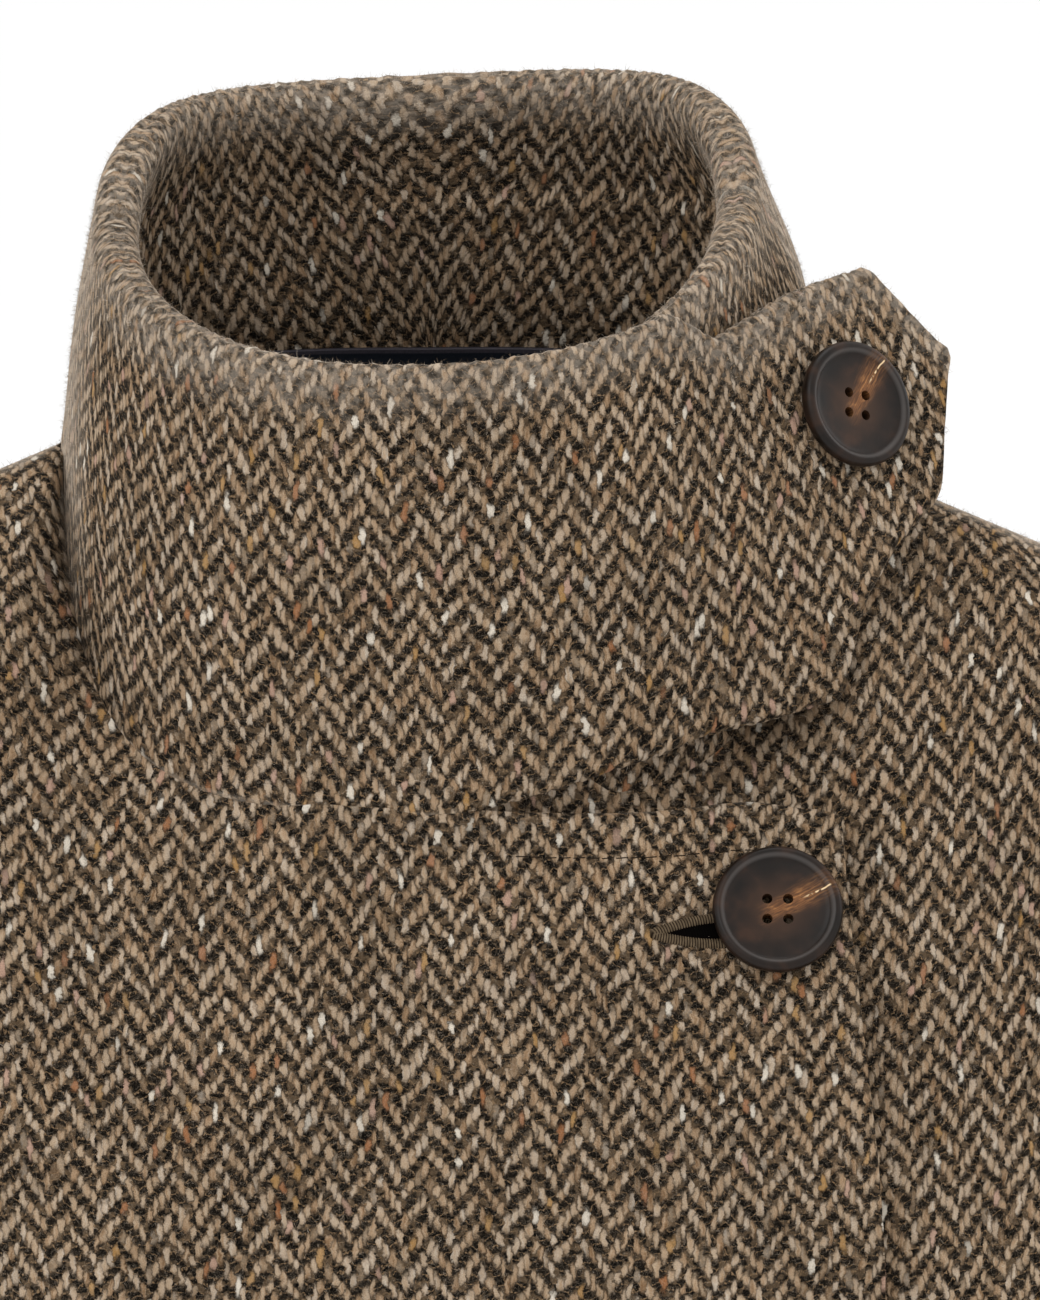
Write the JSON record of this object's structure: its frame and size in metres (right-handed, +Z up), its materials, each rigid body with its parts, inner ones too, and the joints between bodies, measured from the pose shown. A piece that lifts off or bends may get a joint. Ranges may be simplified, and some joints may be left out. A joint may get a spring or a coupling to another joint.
{
  "type": "high neck coat",
  "caption": "Single-breasted herringbone tweed coat with a high wrapped funnel collar ending in a buttoned tab, offset front closing, set-in sleeves and horn buttons, hollow as worn.",
  "frame": {"origin": "midway between the two neck points, at their level, where the wearer's shoulders carry the coat", "axes": "+Z up, the front faces -Y, the wearer's left is +X"},
  "size_m": [0.7476, 0.3295, 0.9858],
  "materials": {
    "tweed": "brown and black herringbone wool tweed, fuzzy",
    "lining": "smooth dark lining",
    "horn": "satin dark brown horn with amber streaks"
  },
  "bodies": {
    "root": {"back": "tweed", "front_left": "tweed", "front_right": "tweed", "sleeve_left": "tweed", "sleeve_right": "tweed", "collar": "tweed", "neck_lining": "lining", "button_front_1": "horn", "button_front_2": "horn", "button_front_3": "horn", "button_front_4": "horn", "button_tab": "horn"}
  },
  "joints": []
}
